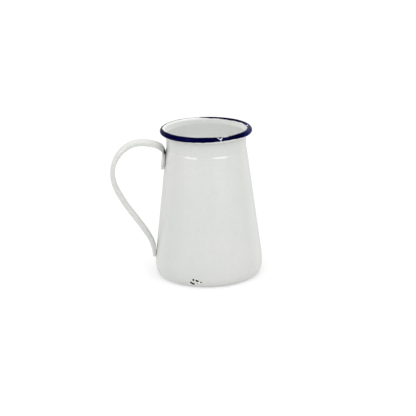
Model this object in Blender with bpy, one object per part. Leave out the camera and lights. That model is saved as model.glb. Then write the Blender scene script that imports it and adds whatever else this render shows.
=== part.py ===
"""Enamelled steel jug with a conical body, an upright neck, a wired rolled rim and a strap handle.

Metres, +Z up. The origin is on the jug's axis, in the plane that it stands on, and the handle lies along -X.
Heights and radii below are in millimetres and are turned into metres where a mesh is made.
"""

import math

import bmesh
import bpy
import numpy as np

MM = 0.001

# Overall size
HEIGHT = 158.75
BODY_RADIUS = 57.15
SHEET = 1.2
GAP = 0.3
TURN_STEPS = 60
SHARP_ANGLE = 50

# Body wall, from the foot up
FOOT_INNER_RADIUS = 47.0
FOOT_RADIUS = 51.9
CORNER_HEIGHT = 10.3
CORNER_STEPS = 5
CONE_START_HEIGHT = 18.1
CONE_START_BLEND = 5.0
CONE_START_STEPS = 3
CONE_TOP_RADIUS = 42.45
CONE_TOP_HEIGHT = 135.5
NECK_RADIUS = 42.0
NECK_START_HEIGHT = 138.0
SHOULDER_STEPS = 3

# Rolled rim and the wire inside it
RIM_ROLL_RADIUS = 3.2
RIM_OUTER_RADIUS = 47.9
RIM_CURL_END = -125
RIM_LEG_LENGTH = 3.25
RIM_TOP_STEPS = 8
RIM_CURL_STEPS = 6
WIRE_STEPS = 10

# Base pan, pressed down through the turned-in foot
PAN_PANEL_RADIUS = 43.5
PAN_STEP_WIDTH = 2.5
PAN_FLANGE_HEIGHT = 13.5

# Strap handle: a strip with both edges turned in to a seam, pressed flatter into a tab at each end
STRAP_LOWER_WIDTH = 12.5
STRAP_UPPER_WIDTH = 15.5
STRAP_SHEET = 1.2
STRAP_DEPTH = 4.95
STRAP_CROWN = 0.3
STRAP_EDGE_RADIUS = 1.7
STRAP_EDGE_STEPS = 3
STRAP_SEAM_WIDTH = 1.0
LOWER_TAB_DEPTH = 3.1
UPPER_TAB_DEPTH = 3.1
SPAN_STEPS = 4
TAB_ROUNDING = 5.0
TAB_END_WIDTH = 0.5

# Middle of the strap's depth: distance from the jug's axis and height, from the lower tab round to the upper one
HANDLE_ROUTE = [
    (58.8, 18.8),
    (58.7, 24.6),
    (60.5, 34.4),
    (67.6, 48.3),
    (76.7, 62.1),
    (86.0, 75.8),
    (93.7, 89.6),
    (98.6, 103.0),
    (99.1, 116.4),
    (94.9, 129.5),
    (87.1, 138.3),
    (78.3, 143.0),
    (67.7, 144.6),
    (57.3, 143.0),
    (49.0, 139.9),
    (45.1, 134.8),
    (45.4, 127.5),
    (46.9, 115.2),
]
LOWER_FULL_DEPTH_SPAN = 1.6
UPPER_FULL_DEPTH_SPAN = 14.2
UPPER_TAB_SPAN = 15.5

WHITE_ENAMEL = (0.70, 0.71, 0.68)
BLUE_ENAMEL = (0.004, 0.006, 0.055)
BARE_WIRE = (0.35, 0.34, 0.33)


def clear_scene():
    for obj in list(bpy.data.objects):
        bpy.data.objects.remove(obj)


def finish_material(name, colour, roughness, metallic):
    material = bpy.data.materials.new(name)
    material.use_nodes = True
    shader = material.node_tree.nodes["Principled BSDF"]
    shader.inputs["Base Color"].default_value = (*colour, 1.0)
    shader.inputs["Roughness"].default_value = roughness
    shader.inputs["Metallic"].default_value = metallic
    return material


def add_object(name, mesh_builder, material):
    """Writes the built mesh into a new object, shaded smooth except across pressed edges."""
    bmesh.ops.recalc_face_normals(mesh_builder, faces=mesh_builder.faces)
    mesh = bpy.data.meshes.new(name)
    mesh_builder.to_mesh(mesh)
    mesh_builder.free()
    mesh.shade_smooth()
    mesh.set_sharp_from_angle(angle=math.radians(SHARP_ANGLE))
    mesh.materials.append(material)
    obj = bpy.data.objects.new(name, mesh)
    bpy.context.scene.collection.objects.link(obj)
    return obj


def arc(centre, half_width, half_height, start, end, steps):
    """Points along an ellipse's arc, with angles in degrees from the outward radius."""
    points = []
    for step in range(steps + 1):
        angle = math.radians(start + (end - start) * step / steps)
        radius = centre[0] + half_width * math.cos(angle)
        height = centre[1] + half_height * math.sin(angle)
        points.append((radius, height))
    return points


def offset_line(points, distance):
    """The line at a distance to the left of a line of points, with mitred corners."""
    line = np.array(points, dtype=float)
    steps = np.diff(line, axis=0)
    steps /= np.linalg.norm(steps, axis=1)[:, None]
    before = np.vstack((steps[:1], steps))
    after = np.vstack((steps, steps[-1:]))
    middle = before + after
    middle /= np.linalg.norm(middle, axis=1)[:, None]
    stretch = 1.0 / np.sum(middle * after, axis=1)
    left = np.column_stack((-middle[:, 1], middle[:, 0]))
    return (line + left * (distance * stretch)[:, None]).tolist()


def sheet_outline(face, thickness):
    """The closed outline of a pressed sheet: one face, then the other face back again."""
    return face + offset_line(face, thickness)[::-1]


def turn(outline, closed=True):
    """Spins an outline of radius and height about Z. An open one starts and ends on the axis."""
    builder = bmesh.new()
    corners = [builder.verts.new((radius * MM, 0.0, height * MM)) for radius, height in outline]
    edges = [builder.edges.new(pair) for pair in zip(corners, corners[1:])]
    if closed:
        edges.append(builder.edges.new((corners[-1], corners[0])))
    bmesh.ops.spin(
        builder,
        geom=corners + edges,
        cent=(0, 0, 0),
        axis=(0, 0, 1),
        angle=math.tau,
        steps=TURN_STEPS,
        use_merge=True,
    )
    bmesh.ops.remove_doubles(builder, verts=builder.verts, dist=0.00001)
    return builder


def foot_and_corner():
    """The turned-in foot and the rounded lower corner of the body, up to the upright band."""
    centre = (FOOT_RADIUS, CORNER_HEIGHT)
    corner = arc(centre, BODY_RADIUS - FOOT_RADIUS, CORNER_HEIGHT, -90, 0, CORNER_STEPS)
    return [(FOOT_INNER_RADIUS, 0.0)] + corner


def cone_start_arc():
    """The easy bend where the upright band leans over into the cone."""
    rise = CONE_TOP_HEIGHT - CONE_START_HEIGHT
    lean = math.degrees(math.atan2(BODY_RADIUS - CONE_TOP_RADIUS, rise))
    bend_radius = CONE_START_BLEND / math.tan(math.radians(lean / 2))
    centre = (BODY_RADIUS - bend_radius, CONE_START_HEIGHT - CONE_START_BLEND)
    return arc(centre, bend_radius, bend_radius, 0, lean, CONE_START_STEPS)


def shoulder_curve():
    """The small step from the cone's top in to the upright neck, eased at both ends."""
    width = CONE_TOP_RADIUS - NECK_RADIUS
    rise = NECK_START_HEIGHT - CONE_TOP_HEIGHT
    points = []
    for step in range(SHOULDER_STEPS + 1):
        along = step / SHOULDER_STEPS
        ease = (1 - math.cos(math.pi * along)) / 2
        points.append((CONE_TOP_RADIUS - width * ease, CONE_TOP_HEIGHT + rise * along))
    return points


def rim_centre():
    return (RIM_OUTER_RADIUS - RIM_ROLL_RADIUS, HEIGHT - RIM_ROLL_RADIUS)


def body_shell(material):
    """The wall: turned-in foot, rounded corner, upright band, cone, shoulder and neck, in one sheet."""
    neck_top = rim_centre()[1] - RIM_LEG_LENGTH - GAP
    face = foot_and_corner()
    face += cone_start_arc()
    face += shoulder_curve()
    face += [(NECK_RADIUS, neck_top)]
    return add_object("body_shell", turn(sheet_outline(face, SHEET)), material)


def rolled_rim(material):
    """The neck's upper edge, which bells out a little and is rolled outward and down over the wire."""
    centre = rim_centre()
    face = [(NECK_RADIUS - SHEET, centre[1] - RIM_LEG_LENGTH)]
    face += arc(centre, RIM_ROLL_RADIUS, RIM_ROLL_RADIUS, 180, 0, RIM_TOP_STEPS)
    face += arc(centre, RIM_ROLL_RADIUS, RIM_ROLL_RADIUS, 0, RIM_CURL_END, RIM_CURL_STEPS)[1:]
    return add_object("rolled_rim", turn(sheet_outline(face, -SHEET)), material)


def rim_wire(material):
    """The round wire that stiffens the rim, wrapped by the roll."""
    wire_radius = RIM_ROLL_RADIUS - SHEET - GAP
    section = arc(rim_centre(), wire_radius, wire_radius, 0, 360, WIRE_STEPS)[:-1]
    return add_object("rim_wire", turn(section), material)


def base_pan(material):
    """The pressed bottom: a panel level with the foot, a step up over it, and a flange inside the wall."""
    seat = SHEET + GAP
    wall = foot_and_corner() + [(BODY_RADIUS, PAN_FLANGE_HEIGHT)]
    face = [(0.0, 0.0), (PAN_PANEL_RADIUS, 0.0), (PAN_PANEL_RADIUS + PAN_STEP_WIDTH, seat)]
    face += offset_line(wall, seat)[1:]
    outline = sheet_outline(face, SHEET)
    outline[-1] = (0.0, SHEET)
    return add_object("base_pan", turn(outline, closed=False), material)


def smooth_curve(points, span_steps):
    """A natural cubic spline through the points, with the same number of steps in every span."""
    knots = np.array(points)
    spans = np.linalg.norm(np.diff(knots, axis=0), axis=1)
    slopes = np.diff(knots, axis=0) / spans[:, None]
    system = np.eye(len(knots))
    wanted = np.zeros_like(knots)
    for row in range(1, len(knots) - 1):
        system[row, row - 1 : row + 2] = spans[row - 1], 2 * (spans[row - 1] + spans[row]), spans[row]
        wanted[row] = 6 * (slopes[row] - slopes[row - 1])
    bends = np.linalg.solve(system, wanted)
    curve = []
    for step in range(span_steps * len(spans) + 1):
        span = min(step // span_steps, len(spans) - 1)
        length = spans[span]
        along = length * (step / span_steps - span)
        back = length - along
        straight = (knots[span] * back + knots[span + 1] * along) / length
        start_bend = bends[span] * (back**3 / length - back * length) / 6
        end_bend = bends[span + 1] * (along**3 / length - along * length) / 6
        curve.append(straight + start_bend + end_bend)
    return np.array(curve)


def strap_depth(span):
    """The strap's depth from crown to seam, at a place counted in spans of the route."""
    places = [0.0, LOWER_FULL_DEPTH_SPAN, UPPER_FULL_DEPTH_SPAN, UPPER_TAB_SPAN]
    depths = [LOWER_TAB_DEPTH, STRAP_DEPTH, STRAP_DEPTH, UPPER_TAB_DEPTH]
    return float(np.interp(span, places, depths))


def strap_section(depth, width):
    """The strap's cross-section as sideways place and outward height; its edges meet at a seam underneath."""
    radius = min(STRAP_EDGE_RADIUS, (depth - STRAP_CROWN) / 2)
    middle = width / 2 - radius
    shoulder = depth / 2 - STRAP_CROWN - radius
    lip_edge = STRAP_SEAM_WIDTH / 2
    face = [(lip_edge, -depth / 2), (width / 2, -depth / 2)]
    face += arc((middle, shoulder), radius, radius, 0, 90, STRAP_EDGE_STEPS)
    face += [(0.0, depth / 2)]
    face += arc((-middle, shoulder), radius, radius, 90, 180, STRAP_EDGE_STEPS)
    face += [(-width / 2, -depth / 2), (-lip_edge, -depth / 2)]
    return sheet_outline(face, STRAP_SHEET)


def handle_strap(material):
    """The strap handle, lofted along its route in the plane of -X and Z."""
    route = smooth_curve(HANDLE_ROUTE, SPAN_STEPS)
    headings = np.gradient(route, axis=0)
    headings /= np.linalg.norm(headings, axis=1)[:, None]
    builder = bmesh.new()
    rings = []
    for step, (place, heading) in enumerate(zip(route, headings)):
        to_end = math.dist(place, route[-1])
        rounding = max(0.0, 1.0 - to_end / TAB_ROUNDING)
        full_width = np.interp(place[1], (HANDLE_ROUTE[0][1], HEIGHT), (STRAP_LOWER_WIDTH, STRAP_UPPER_WIDTH))
        width = full_width * max(TAB_END_WIDTH, math.sqrt(1.0 - rounding**2))
        outward = (heading[1], -heading[0])
        ring = []
        for sideways, rise in strap_section(strap_depth(step / SPAN_STEPS), width):
            distance = place[0] + outward[0] * rise
            height = place[1] + outward[1] * rise
            ring.append(builder.verts.new((-distance * MM, sideways * MM, height * MM)))
        rings.append(ring)
    for ring, following in zip(rings, rings[1:]):
        for index in range(len(ring)):
            previous = index - 1
            builder.faces.new((ring[previous], ring[index], following[index], following[previous]))
    builder.faces.new(rings[0])
    builder.faces.new(rings[-1])
    return add_object("handle_strap", builder, material)


def main():
    clear_scene()
    white = finish_material("white_enamel", WHITE_ENAMEL, 0.18, 0.0)
    blue = finish_material("blue_enamel", BLUE_ENAMEL, 0.15, 0.0)
    steel = finish_material("steel_wire", BARE_WIRE, 0.45, 1.0)
    body_shell(white)
    rolled_rim(blue)
    rim_wire(steel)
    base_pan(white)
    handle_strap(white)


main()
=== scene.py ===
"""Looks for the enamelled steel jug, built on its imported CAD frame.

Metres, +Z up, the jug's axis on Z and its handle along -X. Lengths in the constants are in millimetres,
angles are in degrees, and azimuths are measured about the jug's axis from +X.
"""

import math

import bmesh
import bpy
import numpy as np
from mathutils import Matrix, Vector


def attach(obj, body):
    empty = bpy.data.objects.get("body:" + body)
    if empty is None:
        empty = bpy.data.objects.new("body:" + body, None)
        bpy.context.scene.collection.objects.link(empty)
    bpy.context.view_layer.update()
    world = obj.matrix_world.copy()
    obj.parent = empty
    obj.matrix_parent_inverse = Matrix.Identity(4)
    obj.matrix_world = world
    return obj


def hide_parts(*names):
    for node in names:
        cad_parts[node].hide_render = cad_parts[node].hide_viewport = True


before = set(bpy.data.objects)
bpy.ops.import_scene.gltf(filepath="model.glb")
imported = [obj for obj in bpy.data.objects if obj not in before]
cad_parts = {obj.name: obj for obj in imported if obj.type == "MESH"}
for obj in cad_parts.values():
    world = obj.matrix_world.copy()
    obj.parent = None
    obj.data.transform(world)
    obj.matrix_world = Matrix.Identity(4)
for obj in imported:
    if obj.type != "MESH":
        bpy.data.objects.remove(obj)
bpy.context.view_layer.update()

MM = 0.001

# Creases sharper than this many degrees are shaded as edges
SHARP_ANGLE = 55.0

# The wall, as in the CAD part but for the place and size of its shoulder
HEIGHT = 158.75
BODY_RADIUS = 57.15
SHEET = 1.2
FOOT_INNER_RADIUS = 47.0
FOOT_RADIUS = 51.9
CORNER_HEIGHT = 10.3
CONE_START_HEIGHT = 18.1
CONE_START_BLEND = 5.0
CONE_TOP_RADIUS = 42.6
CONE_TOP_HEIGHT = 134.7
NECK_RADIUS = 42.0
NECK_START_HEIGHT = 137.6
NECK_JOIN_HEIGHT = 152.15
SHOULDER_STEPS = 12

# Points of the wall's inner face, counted from its top: the first are all kept, and of the last only one is
NECK_POINTS = 30
FOOT_POINTS = 8

# The wall's unevenness, and the heights over which it fades in above the foot and out below the mouth
WOBBLE = 0.06
WOBBLE_FADE_IN = (9.0, 22.0)
WOBBLE_FADE_OUT = (142.0, 150.0)

# The mouth: how much lower it is at +X, the heights over which that comes in, and how oval it is
MOUTH_DROP = 0.5
MOUTH_DROP_FADE_IN = (100.0, 150.0)
MOUTH_OVAL = 0.4

# How much of the inside's painted light the mouth gets, the inside's enamel being painted whiter than the
# outside's, and the heights over which the inside turns into the mouth
MOUTH_PAINTED_LIGHT = 0.45
MOUTH_FADE_IN = (CONE_TOP_HEIGHT, NECK_START_HEIGHT + 7.0)

# The roll and the wire inside it
ROLL_RADIUS = 3.2
ROLL_CENTRE_RADIUS = 44.7
ROLL_CENTRE_HEIGHT = HEIGHT - ROLL_RADIUS
LEG_STEPS = 9
ROLL_STEPS = 76
CURL_END = -125.0
WIRE_RADIUS = 1.7

# Angles round the roll given to the outline's points before and past it, and where the mouth's painted light
# begins
BEFORE_ROLL = 200.0
PAST_ROLL = CURL_END - 20.0
MOUTH_PAINTED_LIGHT_START = 60.0

# Waves as height, count round the jug and shift: of the blue's two edges in degrees, and of the roll's lumps
INNER_EDGE_WAVES = [(3.0, 9, 0.5), (2.2, 23, 1.3), (1.2, 51, 0.0)]
OUTER_EDGE_WAVES = [(3.0, 7, 2.0), (1.8, 31, 0.7)]
LUMP_WAVES = [(0.6, 5, 0.3), (0.4, 13, 1.0)]
LUMP_DEPTH = 0.05

# The bottom pan
PAN_PANEL_RADIUS = 43.5
PAN_STEP_RADIUS = 46.0
PAN_SEAT = 1.5
PAN_FLANGE_HEIGHT = 13.5

# Middle of the painted shade in the gap between the strap's bend and the wall, as distance from the axis and
# height, how far that painted shade reaches across, up and down, and how much of it the wall gets beside the
# strap
CREVICE = (42.4, 134.6)
PAINTED_SHADE_REACH = (12.0, 16.0, 8.0)
WALL_PAINTED_SHADE = 0.25

# The strap handle's section
STRAP_LOWER_WIDTH = 12.5
STRAP_UPPER_WIDTH = 15.5
STRAP_DEPTH = 4.85
STRAP_CROWN = 0.3
CROWN_STEPS = 12
STRAP_EDGE_RADIUS = 1.7
STRAP_SEAM_WIDTH = 1.0
STRAP_FOLD_RADIUS = 0.8

# The strap's ends, pressed flatter: their depths, the length over which the upper one rounds off, and the
# share of its width that is left at the very end
LOWER_TAB_DEPTH = 3.1
UPPER_TAB_DEPTH = 3.1
TAB_ROUNDING = 5.0
TAB_END_WIDTH = 0.5

# The strap's route from its foot up, as distance from the axis and height: steps in each span between two
# points, the spans where its full depth starts and ends and where its upper tab starts, and the points
SPAN_STEPS = 12
LOWER_FULL_DEPTH_SPAN = 1.6
UPPER_FULL_DEPTH_SPAN = 14.2
UPPER_TAB_SPAN = 15.5
HANDLE_ROUTE = [
    (58.8, 19.5),
    (58.7, 24.6),
    (60.5, 34.4),
    (67.6, 48.3),
    (76.7, 62.1),
    (86.0, 75.8),
    (93.7, 89.6),
    (98.7, 103.0),
    (99.0, 116.2),
    (94.5, 129.0),
    (86.8, 137.9),
    (78.2, 142.8),
    (67.7, 144.6),
    (57.3, 143.0),
    (49.0, 139.9),
    (44.8, 134.8),
    (45.1, 127.5),
    (46.9, 115.2),
]

# Camera
CAMERA_SENSOR = 36.0
CAMERA_LENS = 109.7
CAMERA_DISTANCE = 1350.0
CAMERA_AZIMUTH = -93.0
CAMERA_ELEVATION = 17.95
CAMERA_ROLL = 1.35
CAMERA_TARGET_X = 0.22
CAMERA_TARGET_HEIGHT = 69.6

# Strength of the surroundings: as light in front, behind and overhead, and as reflected in the same places
SKY_FRONT = 0.20
SKY_BACK = 0.75
SKY_TOP = 1.50
GLOSS_FRONT = 0.03
GLOSS_BACK = 0.72
GLOSS_TOP = 0.10

# The floor: its side, its gap under the jug and how strongly it glows
FLOOR_SIDE = 16000.0
FLOOR_GAP = 0.3
FLOOR_GLOW = 0.34

# Lights: name, azimuth, elevation, width, height, power in watts, and whether they light colour or gloss
LIGHT_DISTANCE = 1000.0
LIGHT_TARGET_HEIGHT = 120.0
LIGHTS = [
    ("left_softbox", -137.0, 18.0, 600.0, 580.0, 4.9, "gloss"),
    ("right_softbox", -53.0, 18.0, 660.0, 580.0, 6.0, "gloss"),
    ("left_fill", -141.0, 30.0, 620.0, 480.0, 1.15, "colour"),
    ("right_fill", -54.0, 30.0, 620.0, 480.0, 1.60, "colour"),
]

# Depths of chips and flakes and thickness of the blue, the distances from an edge between which each fades
# out, and the distance beyond which an edge no longer counts
CHIP_DEPTH = 0.25
FLAKE_DEPTH = 0.12
BLUE_THICKNESS = 0.08
CHIP_LIP = (-0.18, 0.08)
FLAKE_LIP = (-0.15, 0.10)
BLUE_LIP = (-0.10, 0.30)
CHIP_REACH = 3.0

# Waves of a spot's broken edge, as turns across, turns along and shift, and their height
ROUGH_EDGE_WAVES = [(3.1, 1.7, 0.4), (-2.3, 4.4, 1.9), (5.9, -2.6, 3.3), (1.2, 7.3, 5.1)]
ROUGH_EDGE = 0.12

# Chips in the white enamel by the foot: azimuth, height, half length, half height, tilt
FOOT_CHIPS = [
    (-110.1, 9.0, 1.15, 1.40, 0.0),
    (-106.9, 8.5, 1.10, 1.35, 0.0),
    (-105.8, 8.0, 1.55, 1.05, -20.0),
    (-102.0, 6.7, 1.15, 0.90, -10.0),
    (-112.9, 5.8, 1.40, 1.10, -25.0),
    (-110.8, 4.5, 2.10, 1.35, -12.0),
    (-106.0, 5.1, 0.55, 0.50, 0.0),
]

# Where the blue ends on the roll's inner side and on its outer side: azimuth, angle round the roll
BLUE_INNER_EDGE = [
    (-180, 84),
    (-165, 92),
    (-150, 102),
    (-120, 114),
    (-95, 118),
    (-73, 119),
    (-70.5, 84),
    (-62, 84),
    (-58, 94),
    (-54, 121),
    (-45, 124),
    (-20, 130),
    (0, 136),
    (25, 146),
    (60, 148),
    (80, 138),
    (92, 118),
    (98, 103),
    (120, 100),
    (150, 99),
    (168, 90),
    (180, 84),
]
BLUE_OUTER_EDGE = [
    (-180, -34),
    (-140, -38),
    (-110, -34),
    (-95, -28),
    (-80, -16),
    (-60, -15),
    (-30, -26),
    (0, -34),
    (60, -30),
    (120, -26),
    (180, -34),
]

# Middle of the stretch of the roll where the blue is painted brighter as a painted sheen, and how it fades
# to either side
PAINTED_SHEEN_AZIMUTH = -8.0
PAINTED_SHEEN_FADE_OUT = (8.0, 40.0)

# Bare places on the roll: azimuth, angle round the roll, half length, half height, tilt
ROLL_CHIPS = [
    (-75.0, 92.0, 2.6, 1.7, 0.0),
    (-75.2, 72.0, 1.6, 1.2, 0.0),
    (-75.0, 52.0, 0.8, 0.8, 0.0),
    (-60.0, 84.0, 2.4, 0.9, 0.0),
    (-56.0, 97.0, 1.8, 0.8, 0.0),
    (-104.5, 104.0, 0.9, 0.5, 0.0),
]
# Places where the blue has flaked to the white coat under it, in the same form
ROLL_FLAKES = [
    (-77.4, 50.0, 2.2, 0.50, 50.0),
    (-72.6, 52.0, 2.0, 0.36, -50.0),
    (-74.4, 26.0, 1.1, 0.75, 0.0),
    (-74.6, -12.0, 0.50, 1.8, 0.0),
    (-67.2, 69.0, 3.2, 0.42, 0.0),
    (-59.0, 86.0, 2.2, 0.40, 0.0),
    (4.0, 116.0, 1.6, 1.0, 20.0),
]


# ---------------------------------------------------------------- outlines


def arc(centre, half_width, half_height, start, end, steps):
    """Points along an ellipse's arc, with angles in degrees from the outward radius."""
    angles = np.radians(np.linspace(start, end, steps + 1))
    radii = centre[0] + half_width * np.cos(angles)
    heights = centre[1] + half_height * np.sin(angles)
    return np.column_stack((radii, heights))


def straight(start, end, steps):
    """Points from start to end, without start itself."""
    share = np.linspace(0.0, 1.0, steps + 1)[1:, None]
    return np.array(start) * (1.0 - share) + np.array(end) * share


def offset(line, distance):
    """The line at a distance to the left of a smooth line of points."""
    heading = np.gradient(line, axis=0)
    heading /= np.linalg.norm(heading, axis=1)[:, None]
    return line + distance * np.column_stack((-heading[:, 1], heading[:, 0]))


def lengths_along(line):
    steps = np.linalg.norm(np.diff(line, axis=0), axis=1)
    return np.concatenate(([0.0], np.cumsum(steps)))


def smooth_curve(points, span_steps):
    """A natural cubic spline through the points, with the same number of steps in every span."""
    knots = np.array(points)
    spans = np.linalg.norm(np.diff(knots, axis=0), axis=1)
    slopes = np.diff(knots, axis=0) / spans[:, None]
    system = np.eye(len(knots))
    wanted = np.zeros_like(knots)
    for row in range(1, len(knots) - 1):
        system[row, row - 1 : row + 2] = spans[row - 1], 2 * (spans[row - 1] + spans[row]), spans[row]
        wanted[row] = 6 * (slopes[row] - slopes[row - 1])
    bends = np.linalg.solve(system, wanted)
    curve = []
    for step in range(span_steps * len(spans) + 1):
        span = min(step // span_steps, len(spans) - 1)
        length = spans[span]
        along = length * (step / span_steps - span)
        back = length - along
        line = (knots[span] * back + knots[span + 1] * along) / length
        start_bend = bends[span] * (back**3 / length - back * length) / 6
        end_bend = bends[span + 1] * (along**3 / length - along * length) / 6
        curve.append(line + start_bend + end_bend)
    return np.array(curve)


# ---------------------------------------------------------------- meshes


def column_angles(coarse, fine, fine_spans):
    """Azimuths once round the axis, close together inside the fine spans."""
    angles = []
    angle = -180.0
    while angle < 180.0 - fine / 2:
        angles.append(angle)
        inside = any(low <= angle < high for low, high in fine_spans)
        angle += fine if inside else coarse
    return np.array(angles)


def quads_between(rows, columns, rows_closed):
    """Corner numbers of the quads of a grid whose columns run round and close."""
    row = np.arange(rows if rows_closed else rows - 1)[:, None]
    column = np.arange(columns)[None, :]
    next_row = (row + 1) % rows
    next_column = (column + 1) % columns
    corners = (
        row * columns + column,
        row * columns + next_column,
        next_row * columns + next_column,
        next_row * columns + column,
    )
    return np.stack(corners, axis=-1).reshape(-1, 4).tolist()


def add_piece(name, positions, faces, node):
    """A smooth-shaded mesh object in millimetre positions, riding on the jug in place of its CAD node."""
    mesh = bpy.data.meshes.new(name)
    mesh.from_pydata((positions * MM).tolist(), [], faces)
    builder = bmesh.new()
    builder.from_mesh(mesh)
    bmesh.ops.recalc_face_normals(builder, faces=builder.faces)
    builder.to_mesh(mesh)
    builder.free()
    mesh.shade_smooth()
    mesh.set_sharp_from_angle(angle=math.radians(SHARP_ANGLE))
    piece = bpy.data.objects.new(name, mesh)
    bpy.context.scene.collection.objects.link(piece)
    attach(piece, "root")
    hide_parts(node)
    return piece


def turned_positions(radii, heights, azimuths):
    """Positions of a grid of radii and heights, with the mouth a little oval and lower at +X."""
    turn = np.radians(azimuths)[None, :]
    oval = MOUTH_OVAL * np.cos(2 * turn) * smooth_step(NECK_JOIN_HEIGHT, ROLL_CENTRE_HEIGHT, heights)
    x = (radii + oval) * np.cos(turn)
    y = (radii + oval) * np.sin(turn)
    drop = MOUTH_DROP * (1.0 + np.cos(turn)) / 2
    z = np.broadcast_to(heights, x.shape) - drop * smooth_step(*MOUTH_DROP_FADE_IN, heights)
    return np.stack((x, y, z), axis=-1).reshape(-1, 3)


def set_attribute(piece, name, values):
    attribute = piece.data.attributes.new(name, "FLOAT", "POINT")
    attribute.data.foreach_set("value", np.ravel(values).astype(np.float32))


def smooth_step(low, high, value):
    share = np.clip((value - low) / (high - low), 0.0, 1.0)
    return share * share * (3.0 - 2.0 * share)


def sunk(depth, lip, distance):
    """How deep the surface lies at a distance from an edge: the full depth inside, none past the lip."""
    return depth * (1.0 - smooth_step(*lip, distance))


def waver(waves, turn):
    """The sum of some waves round the jug, given as height, count and shift."""
    return sum(height * np.sin(count * turn + shift) for height, count, shift in waves)


def ragged(across, along):
    """An uneven ripple of about one millimetre, between -1 and 1, for broken edges."""
    waves = [np.sin(a * across + b * along + shift) for a, b, shift in ROUGH_EDGE_WAVES]
    return sum(waves) / len(waves)


def distance_to_spots(spots, azimuths, along, radius, place_of):
    """Signed distance in millimetres to the nearest spot's edge, below zero inside."""
    across = azimuths[None, :]
    nearest = np.full((len(along), len(azimuths)), CHIP_REACH)
    for azimuth, place, half_length, half_height, tilt in spots:
        gap = (across - azimuth + 180.0) % 360.0 - 180.0
        x = np.radians(gap) * radius[:, None]
        y = (along - place_of(place))[:, None]
        turn = math.radians(tilt)
        u = (x * math.cos(turn) + y * math.sin(turn)) / half_length
        v = (y * math.cos(turn) - x * math.sin(turn)) / half_height
        reach = (np.hypot(u, v) - 1.0) * min(half_length, half_height)
        nearest = np.minimum(nearest, reach)
    rough_edge = ragged(np.radians(across) * radius[:, None], along[:, None])
    return nearest + ROUGH_EDGE * rough_edge


def crevice_painted_shade(positions):
    """How much painted shade each point gets, most in the gap where the handle's upper bend meets the wall.
    """
    reach_across, reach_up, reach_down = PAINTED_SHADE_REACH
    across = (-positions[:, 0] - CREVICE[0]) / reach_across
    above = positions[:, 2] - CREVICE[1]
    rise = np.maximum(above / reach_up, -above / reach_down)
    past_edge = np.maximum(np.abs(positions[:, 1]) - STRAP_UPPER_WIDTH / 2, 0.0) / reach_across
    return 1.0 - np.clip(np.sqrt(across**2 + rise**2 + past_edge**2), 0.0, 1.0)


# ---------------------------------------------------------------- pieces


def wall_face():
    """The wall's outer face from the foot to the top of the neck."""
    corner_width = BODY_RADIUS - FOOT_RADIUS
    band_top = CONE_START_HEIGHT - CONE_START_BLEND
    lean = math.atan2(BODY_RADIUS - CONE_TOP_RADIUS, CONE_TOP_HEIGHT - CONE_START_HEIGHT)
    bend_radius = CONE_START_BLEND / math.tan(lean / 2)
    bend_centre = (BODY_RADIUS - bend_radius, band_top)
    bend = arc(bend_centre, bend_radius, bend_radius, 0, math.degrees(lean), steps=8)
    share = np.linspace(0.0, 1.0, SHOULDER_STEPS + 1)[1:]
    step_in = (CONE_TOP_RADIUS - NECK_RADIUS) * smooth_step(0.0, 1.0, share)
    shoulder_heights = CONE_TOP_HEIGHT + (NECK_START_HEIGHT - CONE_TOP_HEIGHT) * share
    parts = [np.array([(FOOT_INNER_RADIUS, 0.0)])]
    parts.append(straight((FOOT_INNER_RADIUS, 0.0), (FOOT_RADIUS, 0.0), steps=4)[:-1])
    parts.append(arc((FOOT_RADIUS, CORNER_HEIGHT), corner_width, CORNER_HEIGHT, -90, 0, steps=40))
    parts.append(straight((BODY_RADIUS, CORNER_HEIGHT), (BODY_RADIUS, band_top), steps=8))
    parts.append(bend[1:])
    parts.append(straight(bend[-1], (CONE_TOP_RADIUS, CONE_TOP_HEIGHT), steps=72))
    parts.append(np.column_stack((CONE_TOP_RADIUS - step_in, shoulder_heights)))
    parts.append(straight((NECK_RADIUS, NECK_START_HEIGHT), (NECK_RADIUS, NECK_JOIN_HEIGHT), steps=14))
    return np.concatenate(parts)


def inner_wall_face(outer_face):
    """The wall's inner face from the top of the neck down, with half as many points below the shoulder."""
    face = offset(outer_face, SHEET)[::-1]
    last = len(face) - 1
    cone_points = np.arange(NECK_POINTS, len(face) - FOOT_POINTS, 2)
    face = face[np.concatenate((np.arange(NECK_POINTS), cone_points, [last]))]
    face[0, 1] = NECK_JOIN_HEIGHT
    return face


def wall_wobble(azimuths, heights):
    """Small unevenness of the wall, always inward: lobes that twist up the wall, and faint rings."""
    turn = np.radians(azimuths)[None, :]
    height = np.array(heights)[:, None]
    wave = np.sin(2 * turn + 0.6) + 0.6 * np.sin(3 * turn + height / 31.0)
    wave = wave + 0.5 * np.sin(5 * turn - height / 23.0 + 1.1)
    rings = 0.35 * np.sin(height / 2.1 + 0.8 * np.sin(2 * turn)) * np.sin(height / 17.0 + turn)
    fade = smooth_step(*WOBBLE_FADE_IN, height) * (1.0 - smooth_step(*WOBBLE_FADE_OUT, height))
    return -WOBBLE * fade * (1.0 + (wave + rings) / 2.5)


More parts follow.
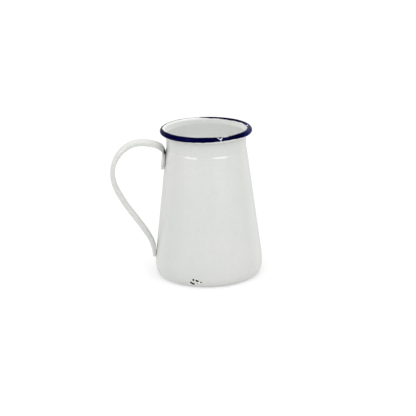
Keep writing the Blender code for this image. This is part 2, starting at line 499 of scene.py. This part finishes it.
def enamel_body():
    """The wall in white enamel, with its chips by the foot."""
    face = wall_face()
    azimuths = column_angles(coarse=1.25, fine=0.3, fine_spans=[(-116.0, -97.0)])
    along = lengths_along(face)
    rising = face[:, 1] > 0.0

    def place_of(height):
        return np.interp(height, face[rising, 1], along[rising])

    chips = distance_to_spots(FOOT_CHIPS, azimuths, along, face[:, 0], place_of)
    radii = face[:, 0][:, None] + wall_wobble(azimuths, face[:, 1]) - sunk(CHIP_DEPTH, CHIP_LIP, chips)
    inner_face = inner_wall_face(face)
    inner_radii = inner_face[:, 0][:, None] + wall_wobble(azimuths, inner_face[:, 1])
    all_radii = np.concatenate((radii, inner_radii))
    all_heights = np.concatenate((face[:, 1], inner_face[:, 1]))[:, None]
    positions = turned_positions(all_radii, all_heights, azimuths)
    faces = quads_between(len(all_radii), len(azimuths), rows_closed=True)
    piece = add_piece("enamel_body", positions, faces, "body_shell")
    far = np.full(inner_radii.shape, CHIP_REACH)
    set_attribute(piece, "chip_edge", np.concatenate((chips, far)))
    # Painted light: the inner face whiter, fully deep inside and less in the mouth
    depth = 1.0 - smooth_step(*MOUTH_FADE_IN, inner_face[:, 1])
    painted_light = MOUTH_PAINTED_LIGHT + (1.0 - MOUTH_PAINTED_LIGHT) * depth
    inner_painted_light = np.repeat(painted_light[:, None], len(azimuths), axis=1)
    set_attribute(piece, "inside", np.concatenate((np.zeros(radii.shape), inner_painted_light)))
    # Painted shade on the wall beside the handle's upper bend, darker towards the gap
    set_attribute(piece, "crevice_shade", WALL_PAINTED_SHADE * crevice_painted_shade(positions))
    return piece


def roll_outline():
    """The roll's closed outline, from the neck up, round to the curl's tip and back inside the sheet.

    Also gives the numbers of the first point of the roll's outer face and of the first one past it.
    """
    centre = (ROLL_CENTRE_RADIUS, ROLL_CENTRE_HEIGHT)
    leg_radius = NECK_RADIUS - SHEET
    leg_start = (leg_radius, NECK_JOIN_HEIGHT)
    leg_end = (ROLL_CENTRE_RADIUS - ROLL_RADIUS, ROLL_CENTRE_HEIGHT)
    leg = straight(leg_start, leg_end, steps=LEG_STEPS)
    bulge = smooth_step(0.0, 1.0, np.linspace(0.1, 1.0, LEG_STEPS))
    leg[:, 0] = leg_start[0] + (leg_end[0] - leg_start[0]) * bulge
    roll = arc(centre, ROLL_RADIUS, ROLL_RADIUS, 180, CURL_END, steps=ROLL_STEPS)
    inner_radius = ROLL_RADIUS - SHEET
    middle_radius = ROLL_RADIUS - SHEET / 2
    tip_centre = arc(centre, middle_radius, middle_radius, CURL_END, CURL_END, steps=0)[0]
    tip = arc(tip_centre, SHEET / 2, SHEET / 2, CURL_END, CURL_END - 180, steps=6)[1:-1]
    inside = arc(centre, inner_radius, inner_radius, CURL_END, 180, steps=30)
    back_top = (leg_radius + SHEET, ROLL_CENTRE_HEIGHT - 1.0)
    back = straight(back_top, (leg_radius + SHEET, NECK_JOIN_HEIGHT), steps=3)
    outline = np.concatenate(([leg_start], leg[:-1], roll, tip, inside, back))
    return outline, len(leg), len(leg) + len(roll)


def signed_distance_to_blue(azimuths, roll_angles):
    """Distance in millimetres into the blue from its nearer edge, below zero outside it."""
    turn = np.radians(azimuths)
    inner_edge = np.interp(azimuths, *zip(*BLUE_INNER_EDGE)) + waver(INNER_EDGE_WAVES, turn)
    outer_edge = np.interp(azimuths, *zip(*BLUE_OUTER_EDGE)) + waver(OUTER_EDGE_WAVES, turn)
    from_inner = np.radians(inner_edge[None, :] - roll_angles[:, None]) * ROLL_RADIUS
    from_outer = np.radians(roll_angles[:, None] - outer_edge[None, :]) * ROLL_RADIUS
    return np.clip(np.minimum(from_inner, from_outer), -CHIP_REACH, CHIP_REACH)


def distance_to_roll_spots(spots, azimuths, roll_angles, rolled):
    """Distance to the nearest of the roll's spots, far away wherever the outline isn't on the roll."""

    def place_of(angle):
        return np.radians(180.0 - angle) * ROLL_RADIUS

    radius = np.full(len(roll_angles), ROLL_CENTRE_RADIUS)
    distance = distance_to_spots(spots, azimuths, place_of(roll_angles), radius, place_of)
    distance[~rolled] = CHIP_REACH
    return distance


def enamel_rim():
    """The roll at the mouth, dipped in blue with an uneven edge, with chips, flakes and a stretch of painted
    sheen.
    """
    outline, roll_start, roll_end = roll_outline()
    fine_spans = [(-83.0, -53.0), (-107.0, -102.0), (0.0, 8.0)]
    azimuths = column_angles(coarse=1.0, fine=0.35, fine_spans=fine_spans)
    roll_angles = np.full(len(outline), BEFORE_ROLL)
    roll_angles[roll_start:roll_end] = np.linspace(180.0, CURL_END, roll_end - roll_start)
    roll_angles[roll_end:] = PAST_ROLL
    rolled = np.zeros(len(outline), bool)
    rolled[roll_start:roll_end] = True
    blue = signed_distance_to_blue(azimuths, roll_angles)
    chips = distance_to_roll_spots(ROLL_CHIPS, azimuths, roll_angles, rolled)
    flakes = distance_to_roll_spots(ROLL_FLAKES, azimuths, roll_angles, rolled)

    out = outline - np.array((ROLL_CENTRE_RADIUS, ROLL_CENTRE_HEIGHT))
    out /= np.maximum(np.linalg.norm(out, axis=1), 0.01)[:, None]
    lumps = LUMP_DEPTH * (1.0 + waver(LUMP_WAVES, np.radians(azimuths)))[None, :]
    sink = sunk(CHIP_DEPTH, CHIP_LIP, chips) + sunk(FLAKE_DEPTH, FLAKE_LIP, flakes)
    sink = sink + (sunk(BLUE_THICKNESS, BLUE_LIP, blue) + lumps) * rolled[:, None]
    radii = outline[:, 0][:, None] - out[:, 0][:, None] * sink
    heights = outline[:, 1][:, None] - out[:, 1][:, None] * sink
    positions = turned_positions(radii, heights, azimuths)
    faces = quads_between(len(outline), len(azimuths), rows_closed=True)
    piece = add_piece("blue_rim", positions, faces, "rolled_rim")
    set_attribute(piece, "blue_edge", blue)
    set_attribute(piece, "chip_edge", chips)
    set_attribute(piece, "flake_edge", flakes)
    # Painted light on the roll's inner side, as in the mouth
    inward = np.repeat((roll_angles > MOUTH_PAINTED_LIGHT_START)[:, None], len(azimuths), axis=1)
    set_attribute(piece, "inside", MOUTH_PAINTED_LIGHT * inward)
    # Painted sheen: the blue painted brighter on a stretch towards +X
    from_middle = np.abs((azimuths - PAINTED_SHEEN_AZIMUTH + 180.0) % 360.0 - 180.0)
    painted_sheen = 1.0 - smooth_step(*PAINTED_SHEEN_FADE_OUT, from_middle)
    set_attribute(piece, "painted_sheen", np.repeat(painted_sheen[None, :], len(outline), axis=0))
    return piece


def wire_in_rim():
    """The round wire that the sheet is rolled over."""
    section = arc((ROLL_CENTRE_RADIUS, ROLL_CENTRE_HEIGHT), WIRE_RADIUS, WIRE_RADIUS, 0, 345, steps=23)
    azimuths = column_angles(coarse=2.0, fine=2.0, fine_spans=[])
    heights = section[:, 1][:, None]
    radii = np.repeat(section[:, 0][:, None], len(azimuths), axis=1)
    positions = turned_positions(radii, heights, azimuths)
    faces = quads_between(len(section), len(azimuths), rows_closed=True)
    return add_piece("wire_in_rim", positions, faces, "rim_wire")


def enamel_bottom():
    """The pressed bottom with its step over the turned-in foot and its flange inside the wall."""
    corner = arc((FOOT_RADIUS, CORNER_HEIGHT), BODY_RADIUS - FOOT_RADIUS, CORNER_HEIGHT, -90, 0, steps=20)
    wall = np.concatenate((corner, straight(corner[-1], (BODY_RADIUS, PAN_FLANGE_HEIGHT), steps=4)))
    step_width = (PAN_STEP_RADIUS - PAN_PANEL_RADIUS) / 2
    face = [straight((0.0, 0.0), (PAN_PANEL_RADIUS, 0.0), steps=26)]
    face.append(arc((PAN_PANEL_RADIUS, PAN_SEAT / 2), step_width, PAN_SEAT / 2, -90, -10, steps=6)[1:])
    face.append(arc((PAN_STEP_RADIUS, PAN_SEAT / 2), step_width, PAN_SEAT / 2, 170, 90, steps=6))
    face.append(offset(wall, PAN_SEAT))
    lower = np.concatenate(face)
    upper = offset(lower, SHEET)[::-1]
    upper[-1, 1] = SHEET
    outline = np.concatenate((lower, upper))
    azimuths = column_angles(coarse=2.0, fine=2.0, fine_spans=[])
    radii = np.repeat(outline[:, 0][:, None], len(azimuths), axis=1)
    positions = turned_positions(radii, outline[:, 1][:, None], azimuths)
    columns = len(azimuths)
    faces = quads_between(len(outline), columns, rows_closed=False)
    lower_centre = len(positions)
    positions = np.vstack((positions, [(0.0, 0.0, 0.0), (0.0, 0.0, SHEET)]))
    last_row = (len(outline) - 1) * columns
    for column in range(columns):
        following = (column + 1) % columns
        faces.append((lower_centre, following, column))
        faces.append((lower_centre + 1, last_row + column, last_row + following))
    piece = add_piece("enamel_bottom", positions, faces, "base_pan")
    # Painted light on the bottom's upper face, inside the jug
    facing_up = np.concatenate((np.zeros(len(lower)), np.ones(len(upper))))
    set_attribute(piece, "inside", np.append(np.repeat(facing_up, columns), (0.0, 1.0)))
    return piece


def strap_section(depth, width):
    """The strap's section as sideways place and outward height: a web, both edges turned in to a seam."""
    radius = min(STRAP_EDGE_RADIUS, (depth - STRAP_CROWN) / 2)
    fold = STRAP_FOLD_RADIUS
    side = width / 2
    foot = -depth / 2
    shoulder = depth / 2 - STRAP_CROWN - radius
    under = depth / 2 - STRAP_CROWN - SHEET
    lip_edge = STRAP_SEAM_WIDTH / 2
    lip_middle = foot + SHEET / 2
    half = [np.array([(lip_edge, under), (side - SHEET, under), (side - SHEET, foot + SHEET)])]
    half.append(arc((lip_edge + SHEET / 2, lip_middle), SHEET / 2, SHEET / 2, 90, 270, steps=6))
    half.append(arc((side - fold, foot + fold), fold, fold, 270, 360, steps=5))
    half.append(arc((side - radius, shoulder), radius, radius, 0, 90, steps=8))
    half = np.concatenate(half)
    crown_half_width = side - radius
    sideways = np.linspace(crown_half_width, -crown_half_width, CROWN_STEPS + 1)[1:-1]
    crown = depth / 2 - STRAP_CROWN * (sideways / crown_half_width) ** 2
    top = np.column_stack((sideways, crown))
    mirrored = half[::-1] * np.array((-1.0, 1.0))
    return np.concatenate((half, top, mirrored))


def strap_depth(span):
    """The strap's depth at a place along its route, counted in spans."""
    places = [0.0, LOWER_FULL_DEPTH_SPAN, UPPER_FULL_DEPTH_SPAN, UPPER_TAB_SPAN]
    depths = [LOWER_TAB_DEPTH, STRAP_DEPTH, STRAP_DEPTH, UPPER_TAB_DEPTH]
    return float(np.interp(span, places, depths))


def enamel_handle():
    """The strap handle, lofted along its route in the plane of -X and Z."""
    route = smooth_curve(HANDLE_ROUTE, SPAN_STEPS)
    headings = np.gradient(route, axis=0)
    headings /= np.linalg.norm(headings, axis=1)[:, None]
    lengths = lengths_along(route)
    heights = (HANDLE_ROUTE[0][1], HEIGHT)
    rings = []
    for step, (place, heading) in enumerate(zip(route, headings)):
        to_end = lengths[-1] - lengths[step]
        rounding = max(0.0, 1.0 - to_end / TAB_ROUNDING)
        full_width = np.interp(place[1], heights, (STRAP_LOWER_WIDTH, STRAP_UPPER_WIDTH))
        width = full_width * max(TAB_END_WIDTH, math.sqrt(1.0 - rounding**2))
        outward = (heading[1], -heading[0])
        section = strap_section(strap_depth(step / SPAN_STEPS), width)
        distance = place[0] + outward[0] * section[:, 1]
        height = place[1] + outward[1] * section[:, 1]
        rings.append(np.column_stack((-distance, section[:, 0], height)))
    columns = len(rings[0])
    positions = np.concatenate(rings)
    faces = quads_between(len(rings), columns, rows_closed=False)
    faces.append(tuple(range(columns)))
    faces.append(tuple(range(len(positions) - columns, len(positions))))
    piece = add_piece("enamel_handle", positions, faces, "handle_strap")
    # Painted shade on the strap where its upper bend meets the wall
    set_attribute(piece, "crevice_shade", crevice_painted_shade(positions))
    return piece


# ---------------------------------------------------------------- materials


def fill(tree, socket, value):
    """Links a socket to the input, or sets the input to a value."""
    if isinstance(value, bpy.types.NodeSocket):
        tree.links.new(value, socket)
    else:
        socket.default_value = value


def add(tree, kind, inputs=None, **settings):
    """A shader node with its settings; an input given as a socket is linked, any other value is set."""
    made = tree.nodes.new(kind)
    for name, value in settings.items():
        setattr(made, name, value)
    for name, value in (inputs or {}).items():
        fill(tree, made.inputs[name], value)
    return made


def new_material(name):
    """A material with an empty Principled shader: the material, its node tree and the shader."""
    material = bpy.data.materials.new(name)
    material.use_nodes = True
    return material, material.node_tree, material.node_tree.nodes["Principled BSDF"]


def object_place(tree):
    return add(tree, "ShaderNodeTexCoord").outputs["Object"]


def noise(tree, place, scale, detail=3.0, roughness=0.5):
    inputs = {"Vector": place, "Scale": scale, "Detail": detail, "Roughness": roughness}
    return add(tree, "ShaderNodeTexNoise", inputs).outputs["Fac"]


def stretched(tree, place, scale):
    return add(tree, "ShaderNodeMapping", {"Vector": place, "Scale": scale}).outputs["Vector"]


def ramp(tree, value, low, high, to_low=0.0, to_high=1.0):
    """The value mapped smoothly from one range to another, and held at its ends."""
    inputs = {"Value": value, "From Min": low, "From Max": high, "To Min": to_low, "To Max": to_high}
    made = add(tree, "ShaderNodeMapRange", inputs, interpolation_type="SMOOTHSTEP")
    return made.outputs["Result"]


def mix_colour(tree, share, first, second):
    """Two colours mixed; a colour is a socket or three numbers."""
    made = add(tree, "ShaderNodeMix", data_type="RGBA")
    fill(tree, made.inputs[0], share)
    for socket, colour in ((made.inputs[6], first), (made.inputs[7], second)):
        fill(tree, socket, (*colour, 1.0) if isinstance(colour, tuple) else colour)
    return made.outputs[2]


def mix_number(tree, share, first, second):
    made = add(tree, "ShaderNodeMix", data_type="FLOAT")
    for socket, value in ((made.inputs[0], share), (made.inputs[2], first), (made.inputs[3], second)):
        fill(tree, socket, value)
    return made.outputs[0]


def maths(tree, operation, first, second):
    made = add(tree, "ShaderNodeMath", operation=operation)
    for socket, value in zip(made.inputs, (first, second)):
        fill(tree, socket, value)
    return made.outputs[0]


def surface_value(tree, name):
    return add(tree, "ShaderNodeAttribute", attribute_name=name).outputs["Fac"]


def bump(tree, height, distance, below=None):
    """A bump of that height in metres, on top of another bump if one is given."""
    inputs = {"Height": height, "Distance": distance, "Strength": 1.0}
    if below is not None:
        inputs["Normal"] = below
    return add(tree, "ShaderNodeBump", inputs).outputs["Normal"]


def white_colour(tree, place):
    """White enamel: a slightly warm grey white, made whiter inside the jug as painted light, most deep
    inside, with clouds and a few tiny specks.
    """
    clouds = ramp(tree, noise(tree, place, 16.0), 0.35, 0.65)
    outside = mix_colour(tree, clouds, (0.668, 0.684, 0.656), (0.692, 0.696, 0.678))
    # Painted light: the inside's copy of the white is lighter than the outside's
    inside = mix_colour(tree, clouds, (0.885, 0.896, 0.872), (0.905, 0.910, 0.896))
    colour = mix_colour(tree, surface_value(tree, "inside"), outside, inside)
    mottle = ramp(tree, noise(tree, place, 230.0, 4.0), 0.3, 0.7, 0.988, 1.012)
    colour = add(tree, "ShaderNodeVectorMath", {0: colour, 1: mottle}, operation="MULTIPLY").outputs[0]
    speck_noise = noise(tree, place, 620.0, 2.0)
    specks = ramp(tree, speck_noise, 0.74, 0.79, 0.0, 0.45)
    return mix_colour(tree, specks, colour, (0.20, 0.19, 0.17))


def bare_steel_colour(tree, place):
    """Steel laid bare in a chip: near black with rusty brown."""
    rust = ramp(tree, noise(tree, place, 900.0, 4.0), 0.42, 0.62)
    return mix_colour(tree, rust, (0.006, 0.0055, 0.005), (0.035, 0.018, 0.009))


def enamel_bump(tree, place, ripple_scale, ripple_height):
    """Faint ripples in the pressed sheet under a glossy, slightly uneven coat."""
    ripples = bump(tree, noise(tree, stretched(tree, place, ripple_scale), 1.0, 3.0), ripple_height)
    return bump(tree, noise(tree, place, 420.0, 2.0), 0.000006, ripples)


def with_painted_crevice_shade(tree, place, colour):
    """The colour darkened by painted shade, and covered by a near-black, brownish painted shadow where that
    shade is thickest.
    """
    crevice_shade = surface_value(tree, "crevice_shade")
    # Painted shade: a grey darkening that grows towards the gap by the handle's upper bend
    soft_shade = ramp(tree, crevice_shade, 0.0, 0.75, 0.0, 0.70)
    colour = mix_colour(tree, soft_shade, colour, (0.30, 0.31, 0.30))
    uneven = ramp(tree, noise(tree, place, 500.0, 3.0), 0.3, 0.7, -0.05, 0.05)
    # Painted shadow: near black with a brownish tint, in the core of that gap
    shade_core = ramp(tree, maths(tree, "ADD", crevice_shade, uneven), 0.70, 0.82)
    core_brown = ramp(tree, noise(tree, place, 700.0), 0.54, 0.64)
    shade_core_colour = mix_colour(tree, core_brown, (0.012, 0.012, 0.011), (0.09, 0.035, 0.020))
    return mix_colour(tree, shade_core, colour, shade_core_colour)


def chipped(tree, place, colour, roughness, normal):
    """The colour, roughness and normal with chips down to rough steel, each in a ring of cleaner enamel."""
    edge_noise = ramp(tree, noise(tree, place, 2200.0, 2.0), 0.3, 0.7, -0.08, 0.08)
    edge = maths(tree, "ADD", surface_value(tree, "chip_edge"), edge_noise)
    halo = ramp(tree, edge, 0.15, 0.75, 0.85, 0.0)
    colour = mix_colour(tree, halo, colour, (0.86, 0.85, 0.78))
    bare = ramp(tree, edge, -0.12, 0.06, 1.0, 0.0)
    colour = mix_colour(tree, bare, colour, bare_steel_colour(tree, place))
    roughness = mix_number(tree, bare, roughness, 0.62)
    rough_steel = ramp(tree, noise(tree, place, 3000.0, 3.0), 0.3, 0.7)
    normal = bump(tree, maths(tree, "MULTIPLY", rough_steel, bare), 0.00008, normal)
    return colour, roughness, normal


def white_enamel(name, ripple_scale, ripple_height, has_chips):
    """The jug's white vitreous enamel, with painted shade by the handle's upper bend, and chipped where
    asked for.
    """
    material, tree, shader = new_material(name)
    place = object_place(tree)
    colour = with_painted_crevice_shade(tree, place, white_colour(tree, place))
    roughness = ramp(tree, noise(tree, place, 60.0, 4.0), 0.3, 0.7, 0.13, 0.24)
    normal = enamel_bump(tree, place, ripple_scale, ripple_height)
    if has_chips:
        colour, roughness, normal = chipped(tree, place, colour, roughness, normal)
    tree.links.new(colour, shader.inputs["Base Color"])
    tree.links.new(roughness, shader.inputs["Roughness"])
    tree.links.new(normal, shader.inputs["Normal"])
    shader.inputs["IOR"].default_value = 1.5
    return material


def navy_colour(tree, place, blue_edge):
    """Navy enamel: streaked, paler in patches and at its edge, and painted brighter on one stretch as a
    painted sheen.
    """
    streaks = ramp(tree, noise(tree, place, 170.0, 4.0, 0.6), 0.40, 0.70)
    navy = mix_colour(tree, streaks, (0.0002, 0.0001, 0.016), (0.0012, 0.0016, 0.046))
    pale = ramp(tree, noise(tree, place, 55.0, 3.0), 0.60, 0.72, 0.0, 0.25)
    navy = mix_colour(tree, pale, navy, (0.012, 0.014, 0.075))
    thin = ramp(tree, blue_edge, 0.0, 0.55, 1.0, 0.0)
    navy = mix_colour(tree, maths(tree, "MULTIPLY", thin, 0.25), navy, (0.03, 0.035, 0.11))
    # Painted sheen: brighter blue in streaks on that stretch
    painted_sheen = ramp(tree, noise(tree, place, 180.0, 4.0), 0.40, 0.62, 0.15, 0.9)
    painted_sheen = maths(tree, "MULTIPLY", painted_sheen, surface_value(tree, "painted_sheen"))
    return mix_colour(tree, painted_sheen, navy, (0.012, 0.022, 0.150))


def blue_on_white_enamel():
    """Navy enamel on the roll over the white coat, flaked to white and chipped to steel in places."""
    material, tree, shader = new_material("blue_rim_enamel")
    place = object_place(tree)
    edge_noise = ramp(tree, noise(tree, place, 900.0, 3.0), 0.3, 0.7, -0.16, 0.16)
    blue_edge = maths(tree, "ADD", surface_value(tree, "blue_edge"), edge_noise)
    covered = ramp(tree, blue_edge, -0.10, 0.14)
    colour = mix_colour(tree, covered, white_colour(tree, place), navy_colour(tree, place, blue_edge))
    flake = maths(tree, "ADD", surface_value(tree, "flake_edge"), edge_noise)
    flaked = ramp(tree, flake, -0.10, 0.12, 1.0, 0.0)
    colour = mix_colour(tree, flaked, colour, (0.66, 0.68, 0.74))
    chip = maths(tree, "ADD", surface_value(tree, "chip_edge"), edge_noise)
    halo = ramp(tree, chip, 0.05, 0.35, 0.55, 0.0)
    colour = mix_colour(tree, halo, colour, (0.30, 0.31, 0.36))
    bare = ramp(tree, chip, -0.12, 0.06, 1.0, 0.0)
    rust = mix_colour(tree, 0.5, bare_steel_colour(tree, place), (0.085, 0.065, 0.022))
    colour = mix_colour(tree, bare, colour, rust)
    roughness = ramp(tree, noise(tree, place, 90.0, 4.0), 0.3, 0.7, 0.16, 0.30)
    roughness = mix_number(tree, bare, roughness, 0.6)
    dips = bump(tree, noise(tree, place, 240.0, 3.0), 0.00003)
    normal = bump(tree, noise(tree, place, 1100.0, 2.0), 0.000008, dips)
    tree.links.new(colour, shader.inputs["Base Color"])
    tree.links.new(roughness, shader.inputs["Roughness"])
    tree.links.new(normal, shader.inputs["Normal"])
    shader.inputs["IOR"].default_value = 1.5
    shader.inputs["Specular IOR Level"].default_value = 0.03
    shader.inputs["Specular Tint"].default_value = (0.30, 0.36, 1.0, 1.0)
    return material


def wire_steel():
    """Drawn steel wire with light rust."""
    material, tree, shader = new_material("drawn_wire_steel")
    place = object_place(tree)
    rust = ramp(tree, noise(tree, place, 140.0, 5.0), 0.48, 0.66)
    colour = mix_colour(tree, rust, (0.36, 0.35, 0.33), (0.16, 0.075, 0.035))
    tree.links.new(colour, shader.inputs["Base Color"])
    tree.links.new(ramp(tree, rust, 0.0, 1.0, 0.38, 0.78), shader.inputs["Roughness"])
    tree.links.new(ramp(tree, rust, 0.0, 1.0, 0.95, 0.15), shader.inputs["Metallic"])
    tree.links.new(bump(tree, noise(tree, place, 800.0, 4.0), 0.00003), shader.inputs["Normal"])
    return material


# ---------------------------------------------------------------- stage, light and camera


def pale_floor():
    """A pale table lit softly from below, so that only a faint shadow is left under the jug."""
    bpy.ops.mesh.primitive_plane_add(size=FLOOR_SIDE * MM, location=(0.0, 0.0, -FLOOR_GAP * MM))
    floor = bpy.context.object
    floor.name = "floor"
    material, tree, shader = new_material("pale_floor")
    place = object_place(tree)
    clouds = ramp(tree, noise(tree, place, 3.0), 0.3, 0.7)
    colour = mix_colour(tree, clouds, (0.595, 0.595, 0.595), (0.605, 0.605, 0.605))
    tree.links.new(colour, shader.inputs["Base Color"])
    shader.inputs["Emission Color"].default_value = (1.0, 1.0, 1.0, 1.0)
    shader.inputs["Emission Strength"].default_value = FLOOR_GLOW
    shader.inputs["Roughness"].default_value = 0.95
    shader.inputs["Specular IOR Level"].default_value = 0.0
    floor.data.materials.append(material)
    floor.visible_glossy = False


def pale_surroundings():
    """A pale studio, bright overhead and behind the jug, with dark reflections but for the pale back wall.

    The camera itself sees it white.
    """
    world = bpy.data.worlds.new("studio")
    bpy.context.scene.world = world
    world.use_nodes = True
    tree = world.node_tree
    direction = add(tree, "ShaderNodeTexCoord").outputs["Generated"]
    axes = add(tree, "ShaderNodeSeparateXYZ", {"Vector": direction}).outputs
    horizon = ramp(tree, axes["Y"], -1.0, 1.0, SKY_FRONT, SKY_BACK)
    lighting = mix_number(tree, ramp(tree, axes["Z"], 0.0, 1.0), horizon, SKY_TOP)
    back_wall = ramp(tree, axes["Y"], 0.1, 0.6, GLOSS_FRONT, GLOSS_BACK)
    reflected = mix_number(tree, ramp(tree, axes["Z"], 0.3, 0.8), back_wall, GLOSS_TOP)
    ray = add(tree, "ShaderNodeLightPath").outputs
    strength = mix_number(tree, ray["Is Glossy Ray"], lighting, reflected)
    strength = mix_number(tree, ray["Is Camera Ray"], strength, 1.0)
    tree.links.new(strength, tree.nodes["Background"].inputs["Strength"])
    tree.nodes["Background"].inputs["Color"].default_value = (1.0, 1.0, 1.0, 1.0)


def soft_light(name, azimuth, elevation, width, height, power, lit):
    """An area light that faces the jug's upper body and is seen by colour only or by gloss only."""
    data = bpy.data.lights.new(name, "AREA")
    data.shape = "RECTANGLE"
    data.size = width * MM
    data.size_y = height * MM
    data.energy = power
    light = bpy.data.objects.new(name, data)
    bpy.context.scene.collection.objects.link(light)
    turn = math.radians(azimuth)
    rise = math.radians(elevation)
    direction = Vector((math.cos(turn) * math.cos(rise), math.sin(turn) * math.cos(rise), math.sin(rise)))
    light.location = Vector((0.0, 0.0, LIGHT_TARGET_HEIGHT * MM)) + direction * LIGHT_DISTANCE * MM
    light.rotation_euler = direction.to_track_quat("Z", "Y").to_euler()
    light.visible_diffuse = lit == "colour"
    light.visible_glossy = lit == "gloss"


def add_camera():
    """A long lens a little above the jug, rolled slightly."""
    data = bpy.data.cameras.new("camera")
    data.lens = CAMERA_LENS
    data.sensor_width = CAMERA_SENSOR
    camera = bpy.data.objects.new("camera", data)
    bpy.context.scene.collection.objects.link(camera)
    azimuth = math.radians(CAMERA_AZIMUTH)
    elevation = math.radians(CAMERA_ELEVATION)
    roll = math.radians(CAMERA_ROLL)
    level = Vector((math.cos(azimuth), math.sin(azimuth), 0.0))
    backward = level * math.cos(elevation) + Vector((0.0, 0.0, math.sin(elevation)))
    right = Vector((0.0, 0.0, 1.0)).cross(backward).normalized()
    up = backward.cross(right)
    rolled_right = right * math.cos(roll) - up * math.sin(roll)
    rolled_up = right * math.sin(roll) + up * math.cos(roll)
    turn = Matrix((rolled_right, rolled_up, backward)).transposed().to_4x4()
    target = Vector((CAMERA_TARGET_X * MM, 0.0, CAMERA_TARGET_HEIGHT * MM))
    camera.matrix_world = Matrix.Translation(target + backward * CAMERA_DISTANCE * MM) @ turn
    bpy.context.scene.camera = camera


def finish_pieces():
    """Builds every piece in its own material."""
    wall = white_enamel("white_wall_enamel", (22.0, 22.0, 400.0), ripple_height=0.00003, has_chips=True)
    strap = white_enamel("white_strap_enamel", (60.0, 60.0, 60.0), ripple_height=0.000012, has_chips=False)
    bottom = white_enamel("white_bottom_enamel", (70.0, 70.0, 70.0), ripple_height=0.00004, has_chips=False)
    enamel_body().data.materials.append(wall)
    enamel_rim().data.materials.append(blue_on_white_enamel())
    wire_in_rim().data.materials.append(wire_steel())
    enamel_bottom().data.materials.append(bottom)
    enamel_handle().data.materials.append(strap)


finish_pieces()
pale_floor()
pale_surroundings()
for light in LIGHTS:
    soft_light(*light)
add_camera()
bpy.context.scene.view_settings.view_transform = "Standard"
